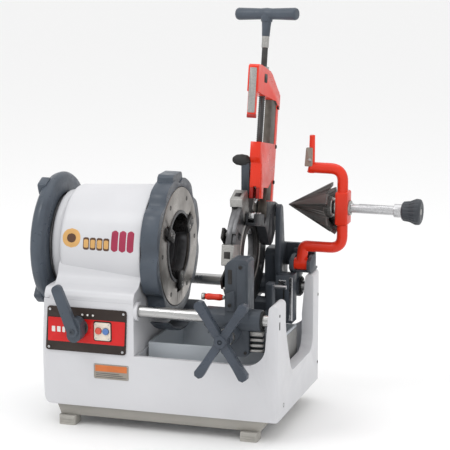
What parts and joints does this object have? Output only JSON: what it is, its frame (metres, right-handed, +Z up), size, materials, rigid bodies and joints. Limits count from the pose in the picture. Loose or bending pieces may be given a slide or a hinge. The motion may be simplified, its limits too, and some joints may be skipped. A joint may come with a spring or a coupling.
{
  "type": "pipe threading machine",
  "caption": "Bench pipe threading machine: covered headstock with a hand-tightened chuck, two rails and a carriage holding a die head, a pipe cutter and a reamer.",
  "frame": {"origin": "middle of the overall bounding box, on the ground under the feet", "axes": "+Z up, +X along the spindle from the headstock towards the chuck and the reamer, -Y the operator's side"},
  "size_m": [0.94, 0.52, 1.0337],
  "materials": {
    "white_paint": "satin white powder coat",
    "under_paint": "matte beige-grey paint",
    "grey_paint": "semi-gloss dark grey hammer-free enamel on cast metal",
    "ring_paint": "semi-gloss slate grey enamel on cast metal",
    "red_paint": "gloss orange-red enamel",
    "black_steel": "black oxide tool steel",
    "bright_steel": "ground and polished steel",
    "satin_steel": "turned steel, lightly oiled",
    "cast_iron": "rough grey cast iron",
    "rubber": "moulded black rubber",
    "panel_plastic": "textured dark brown panel",
    "pale_plastic": "pale switch plate",
    "red_button": "moulded red plastic",
    "blue_button": "moulded blue plastic",
    "knob_plastic": "moulded dark grey grip",
    "motor_paint": "blue-grey motor enamel"
  },
  "bodies": {
    "base": {"base_housing": "white_paint", "drum_cover": "white_paint", "rear_cover": "white_paint", "under_frame": "under_paint", "foot_front_left": "rubber", "foot_front_right": "rubber", "foot_rear_left": "rubber", "foot_rear_right": "rubber", "control_panel": "panel_plastic", "switch_plate": "pale_plastic", "front_rail": "bright_steel", "back_rail": "bright_steel", "feed_rack": "satin_steel", "chip_tray": "grey_paint", "oil_catcher": "grey_paint", "oil_pump": "cast_iron", "power_inlet": "knob_plastic", "headstock_frame": "cast_iron", "spindle_front_bearing": "satin_steel", "spindle_rear_bearing": "satin_steel", "motor": "motor_paint", "gearbox": "cast_iron"},
    "spindle": {"spindle_tube": "satin_steel", "spindle_gear": "cast_iron", "chuck_body": "cast_iron", "chuck_face_plate": "satin_steel", "rear_chuck_body": "cast_iron"},
    "drive_pinion": {"drive_pinion": "satin_steel"},
    "chuck_hand_ring": {"chuck_hand_ring": "ring_paint"},
    "rear_hand_ring": {"rear_hand_ring": "ring_paint"},
    "chuck_jaw_1": {"chuck_jaw_1": "satin_steel"},
    "chuck_jaw_2": {"chuck_jaw_2": "satin_steel"},
    "chuck_jaw_3": {"chuck_jaw_3": "satin_steel"},
    "rear_jaw_1": {"rear_jaw_1": "satin_steel"},
    "rear_jaw_2": {"rear_jaw_2": "satin_steel"},
    "rear_jaw_3": {"rear_jaw_3": "satin_steel"},
    "shift_lever": {"shift_lever": "ring_paint"},
    "stop_button": {"stop_button": "red_button"},
    "start_button": {"start_button": "blue_button"},
    "carriage": {"carriage_casting": "grey_paint", "rear_bracket": "grey_paint", "carriage_grip": "red_paint"},
    "handwheel": {"handwheel": "ring_paint", "feed_pinion": "satin_steel"},
    "die_head": {"die_head_body": "black_steel"},
    "cam_plate": {"cam_plate": "satin_steel"},
    "thread_die_1": {"thread_die_1": "black_steel"},
    "thread_die_2": {"thread_die_2": "black_steel"},
    "thread_die_3": {"thread_die_3": "black_steel"},
    "thread_die_4": {"thread_die_4": "black_steel"},
    "cutter": {"cutter_frame": "red_paint"},
    "cutter_slide": {"cutter_slide": "red_paint"},
    "cutter_wheel": {"cutter_wheel": "bright_steel"},
    "cutter_screw": {"cutter_screw": "knob_plastic"},
    "cutter_roller_front": {"cutter_roller_front": "bright_steel"},
    "cutter_roller_back": {"cutter_roller_back": "bright_steel"},
    "reamer_arm": {"reamer_arm": "red_paint"},
    "reamer": {"reamer_cone": "black_steel", "reamer_shaft": "bright_steel", "reamer_knob": "knob_plastic"}
  },
  "joints": [
    {"name": "spindle_spin", "type": "hinge", "parent": "base", "child": "spindle", "pos_m": [-0.146, 0.037, 0.431], "axis": [1, 0, 0], "continuous": true},
    {"name": "pinion_spin", "type": "hinge", "parent": "base", "child": "drive_pinion", "pos_m": [-0.347, 0.037, 0.281], "axis": [1, 0, 0], "continuous": true},
    {"name": "chuck_ring_turn", "type": "hinge", "parent": "spindle", "child": "chuck_hand_ring", "pos_m": [-0.146, 0.037, 0.431], "axis": [1, 0, 0], "range_deg": [0, 55]},
    {"name": "rear_ring_turn", "type": "hinge", "parent": "spindle", "child": "rear_hand_ring", "pos_m": [-0.446, 0.037, 0.431], "axis": [1, 0, 0], "range_deg": [0, 55]},
    {"name": "chuck_jaw_1_slide", "type": "slide", "parent": "spindle", "child": "chuck_jaw_1", "axis": [0, -0.866, -0.5], "range_m": [0, 0.0301]},
    {"name": "chuck_jaw_2_slide", "type": "slide", "parent": "spindle", "child": "chuck_jaw_2", "axis": [0, 0.866, -0.5], "range_m": [0, 0.0301]},
    {"name": "chuck_jaw_3_slide", "type": "slide", "parent": "spindle", "child": "chuck_jaw_3", "axis": [0, 0, 1], "range_m": [0, 0.0301]},
    {"name": "rear_jaw_1_slide", "type": "slide", "parent": "spindle", "child": "rear_jaw_1", "axis": [0, -0.866, -0.5], "range_m": [0, 0.0301]},
    {"name": "rear_jaw_2_slide", "type": "slide", "parent": "spindle", "child": "rear_jaw_2", "axis": [0, 0.866, -0.5], "range_m": [0, 0.0301]},
    {"name": "rear_jaw_3_slide", "type": "slide", "parent": "spindle", "child": "rear_jaw_3", "axis": [0, 0, 1], "range_m": [0, 0.0301]},
    {"name": "shift_lever_turn", "type": "hinge", "parent": "base", "child": "shift_lever", "pos_m": [-0.313, -0.188, 0.259], "axis": [0, 1, 0], "range_deg": [-30, 70]},
    {"name": "stop_button_press", "type": "slide", "parent": "base", "child": "stop_button", "axis": [0, 1, 0], "range_m": [0, 0.003], "stiffness_N_per_m": 400},
    {"name": "start_button_press", "type": "slide", "parent": "base", "child": "start_button", "axis": [0, 1, 0], "range_m": [0, 0.003], "stiffness_N_per_m": 400},
    {"name": "carriage_slide", "type": "slide", "parent": "base", "child": "carriage", "axis": [1, 0, 0], "range_m": [-0.105, 0.01]},
    {"name": "handwheel_turn", "type": "hinge", "parent": "carriage", "child": "handwheel", "pos_m": [0.077, -0.218, 0.274], "axis": [0, 1, 0], "range_deg": [-37, 339]},
    {"name": "die_head_swing", "type": "hinge", "parent": "carriage", "child": "die_head", "pos_m": [0.049, 0.21, 0.431], "axis": [1, 0, 0], "range_deg": [-80, 0]},
    {"name": "die_lever_turn", "type": "hinge", "parent": "die_head", "child": "cam_plate", "pos_m": [0.061, 0.037, 0.431], "axis": [1, 0, 0], "range_deg": [0, 30]},
    {"name": "thread_die_1_slide", "type": "slide", "parent": "die_head", "child": "thread_die_1", "axis": [0, 0.7071, 0.7071], "range_m": [0, 0.0101]},
    {"name": "thread_die_2_slide", "type": "slide", "parent": "die_head", "child": "thread_die_2", "axis": [0, -0.7071, 0.7071], "range_m": [0, 0.0101]},
    {"name": "thread_die_3_slide", "type": "slide", "parent": "die_head", "child": "thread_die_3", "axis": [0, -0.7071, -0.7071], "range_m": [0, 0.0101]},
    {"name": "thread_die_4_slide", "type": "slide", "parent": "die_head", "child": "thread_die_4", "axis": [0, 0.7071, -0.7071], "range_m": [0, 0.0101]},
    {"name": "cutter_swing", "type": "hinge", "parent": "carriage", "child": "cutter", "pos_m": [0.082, 0.175, 0.5105], "axis": [1, 0, 0], "range_deg": [0, 59.9]},
    {"name": "cutter_feed", "type": "slide", "parent": "cutter", "child": "cutter_slide", "axis": [0, 0.2079, 0.9781], "range_m": [0, 0.092]},
    {"name": "cutter_screw_turn", "type": "hinge", "parent": "cutter_slide", "child": "cutter_screw", "pos_m": [0.082, 0.09937, 0.88344], "axis": [0, 0.2079, 0.9781], "range_deg": [-10, 6640]},
    {"name": "cutter_wheel_spin", "type": "hinge", "parent": "cutter_slide", "child": "cutter_wheel", "pos_m": [0.082, 0.03367, 0.57435], "axis": [1, 0, 0], "continuous": true},
    {"name": "roller_front_spin", "type": "hinge", "parent": "cutter", "child": "cutter_roller_front", "pos_m": [0.082, 0.00093, 0.5261], "axis": [1, 0, 0], "continuous": true},
    {"name": "roller_back_spin", "type": "hinge", "parent": "cutter", "child": "cutter_roller_back", "pos_m": [0.082, 0.04788, 0.51612], "axis": [1, 0, 0], "continuous": true},
    {"name": "reamer_swing", "type": "hinge", "parent": "carriage", "child": "reamer_arm", "pos_m": [0.156, 0.177, 0.374], "axis": [1, 0, 0], "range_deg": [0, 70.5]},
    {"name": "reamer_feed", "type": "slide", "parent": "reamer_arm", "child": "reamer", "axis": [1, 0, 0], "range_m": [-0.02, 0]}
  ],
  "couplings": [
    {"joint": "pinion_spin", "follows": "spindle_spin", "ratio": -4},
    {"joint": "chuck_jaw_1_slide", "follows": "chuck_ring_turn", "m_per_rad": 0.031252},
    {"joint": "chuck_jaw_2_slide", "follows": "chuck_ring_turn", "m_per_rad": 0.031252},
    {"joint": "chuck_jaw_3_slide", "follows": "chuck_ring_turn", "m_per_rad": 0.031252},
    {"joint": "rear_jaw_1_slide", "follows": "rear_ring_turn", "m_per_rad": 0.031252},
    {"joint": "rear_jaw_2_slide", "follows": "rear_ring_turn", "m_per_rad": 0.031252},
    {"joint": "rear_jaw_3_slide", "follows": "rear_ring_turn", "m_per_rad": 0.031252},
    {"joint": "handwheel_turn", "follows": "carriage_slide", "rad_per_m": -55.556},
    {"joint": "thread_die_1_slide", "follows": "die_lever_turn", "m_per_rad": 0.019099},
    {"joint": "thread_die_2_slide", "follows": "die_lever_turn", "m_per_rad": 0.019099},
    {"joint": "thread_die_3_slide", "follows": "die_lever_turn", "m_per_rad": 0.019099},
    {"joint": "thread_die_4_slide", "follows": "die_lever_turn", "m_per_rad": 0.019099},
    {"joint": "cutter_screw_turn", "follows": "cutter_feed", "rad_per_m": 1256.6}
  ]
}
